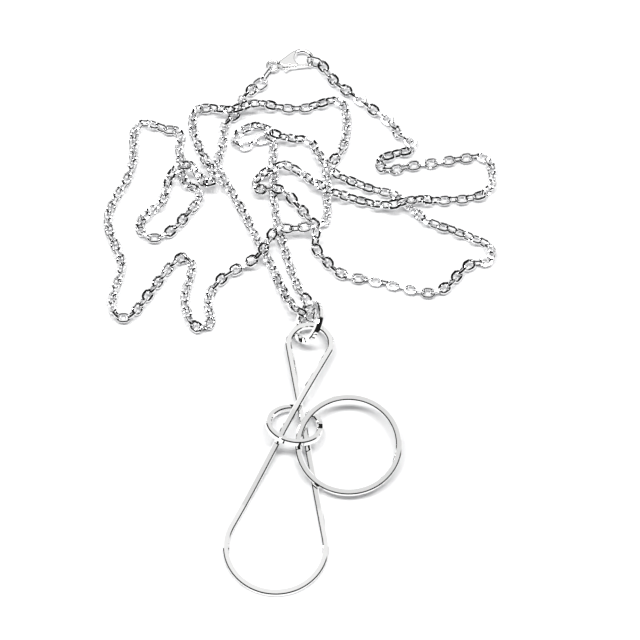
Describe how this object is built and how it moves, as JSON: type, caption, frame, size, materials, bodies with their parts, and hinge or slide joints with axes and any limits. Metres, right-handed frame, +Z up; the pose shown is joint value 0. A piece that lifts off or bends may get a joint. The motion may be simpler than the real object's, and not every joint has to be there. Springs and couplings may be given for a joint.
{
  "type": "pendant necklace",
  "caption": "Long cable-chain necklace with a figure-eight wire pendant, interlocked square-wire rings and a lobster clasp.",
  "frame": {"origin": "centre of the pendant's footprint, on the surface that it lies on", "axes": "+Z up from the surface, +Y from the pendant's wide loop towards the clasp, +X towards the large ring"},
  "size_m": [0.1035, 0.1591, 0.0105],
  "materials": {
    "pendant_silver": "high polish silver",
    "chain_silver": "bright polished silver wire",
    "clasp_silver": "polished silver casting",
    "spring_steel": "bare spring strip"
  },
  "bodies": {
    "root": {"figure_eight": "pendant_silver", "chain": "chain_silver", "clasp_body": "clasp_silver", "clasp_pin": "clasp_silver", "clasp_spring": "spring_steel"},
    "neck_ring_body": {"neck_ring": "pendant_silver"},
    "large_ring_body": {"large_ring": "pendant_silver"},
    "bail_ring_body": {"bail_ring": "pendant_silver"},
    "gate_body": {"clasp_gate": "clasp_silver"},
    "joining_link_body": {"joining_link": "chain_silver"},
    "oval_end_link_body": {"oval_end_link": "chain_silver"},
    "held_link_body": {"held_link": "chain_silver"}
  },
  "joints": [
    {"name": "neck_ring_turn", "type": "hinge", "parent": "root", "child": "neck_ring_body", "pos_m": [-0.0047, 0.0059, 0.00375], "axis": [0.133, 0.3801, 0.9153], "continuous": true},
    {"name": "large_ring_swing", "type": "hinge", "parent": "root", "child": "large_ring_body", "pos_m": [-0.00372, 0.0001, 0.0041], "axis": [0, -1, 0], "range_deg": [0, 60]},
    {"name": "bail_ring_turn", "type": "hinge", "parent": "root", "child": "bail_ring_body", "pos_m": [-0.00103, 0.03482, 0.00536], "axis": [-0.8201, 0.037, 0.5711], "continuous": true},
    {"name": "gate_swing", "type": "hinge", "parent": "root", "child": "gate_body", "pos_m": [-0.00617, 0.1129, 0.00145], "axis": [0, 0, 1], "range_deg": [0, 8], "stiffness_Nm_per_rad": 0.0001, "springref_deg": -11.46},
    {"name": "joining_link_swing", "type": "hinge", "parent": "root", "child": "joining_link_body", "pos_m": [-0.01062, 0.11317, 0.00145], "axis": [0, 0, 1], "range_deg": [-5, 5]},
    {"name": "oval_end_link_roll", "type": "hinge", "parent": "joining_link_body", "child": "oval_end_link_body", "pos_m": [-0.01413, 0.10764, 0.0015], "axis": [0.7507, 0.6606, 0], "range_deg": [-10, 10]},
    {"name": "held_link_slide", "type": "hinge", "parent": "root", "child": "held_link_body", "pos_m": [-0.00288, 0.11503, 0.00145], "axis": [0, 0, 1], "range_deg": [0, 10]}
  ]
}
